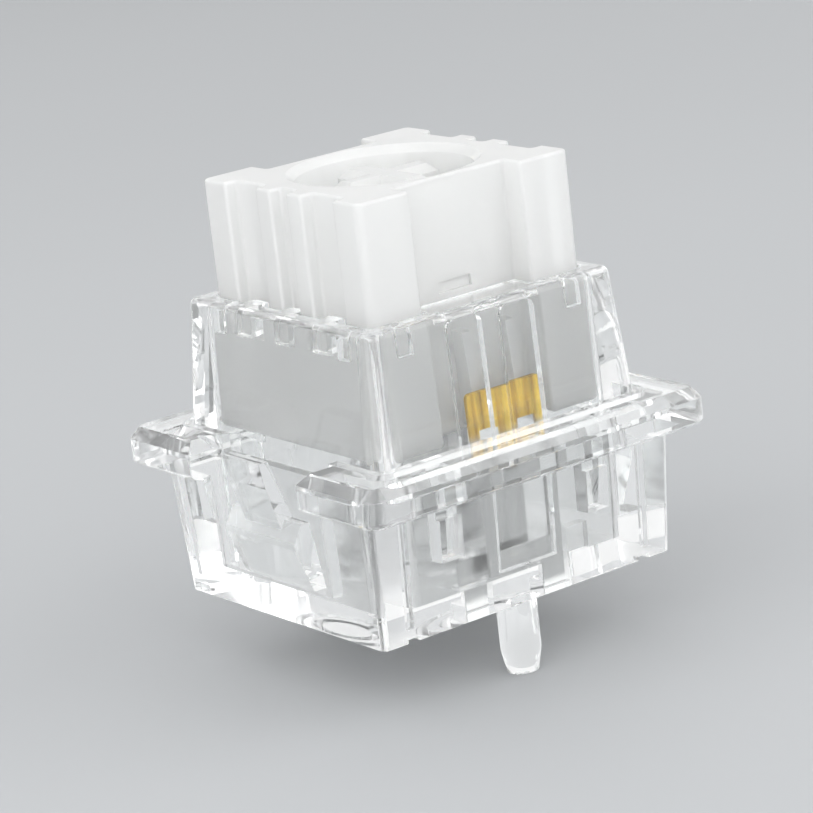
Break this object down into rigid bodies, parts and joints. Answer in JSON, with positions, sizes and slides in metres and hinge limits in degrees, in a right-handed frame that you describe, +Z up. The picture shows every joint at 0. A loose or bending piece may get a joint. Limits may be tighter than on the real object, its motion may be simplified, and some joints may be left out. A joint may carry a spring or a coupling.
{
  "type": "mechanical keyboard switch",
  "caption": "Clear-housed mechanical keyboard switch: a frosted stem with a cross-shaped keycap post slides against a coil spring and closes a gold contact leaf.",
  "frame": {"origin": "where the stem's axis meets the circuit board, in the flat underside of the bottom housing", "axes": "+Z up the stem's axis towards the keycap, -Y towards the side with the contact leaves, -X and +X towards the plate clips"},
  "size_m": [0.0156, 0.0156, 0.0185],
  "materials": {
    "clear_polycarbonate": "clear polished moulding",
    "frosted_plastic": "milky, semi-translucent, satin",
    "spring_steel": "bright drawn wire",
    "gold_plated_bronze": "thin gold plating on stamped sheet",
    "contact_gold": "solid gold alloy, bright"
  },
  "bodies": {
    "housing": {"bottom_housing": "clear_polycarbonate", "top_housing": "clear_polycarbonate", "return_spring": "spring_steel", "fixed_contact_leaf": "gold_plated_bronze", "fixed_contact_point": "contact_gold"},
    "stem": {"stem": "frosted_plastic"},
    "moving_contact": {"moving_contact_leaf": "gold_plated_bronze", "moving_contact_point": "contact_gold"}
  },
  "joints": [
    {"name": "stem_travel", "type": "slide", "parent": "housing", "child": "stem", "axis": [0, 0, -1], "range_m": [0, 0.004], "stiffness_N_per_m": 75, "springref_m": -0.004, "deforming": ["return_spring"]},
    {"name": "contact_flex", "type": "hinge", "parent": "housing", "child": "moving_contact", "pos_m": [0.0005, -0.0047, 0.0006], "axis": [-1, 0, 0], "range_deg": [0, 2.4]}
  ],
  "couplings": [
    {"joint": "contact_flex", "follows": "stem_travel", "rad_per_m": 10.325}
  ]
}
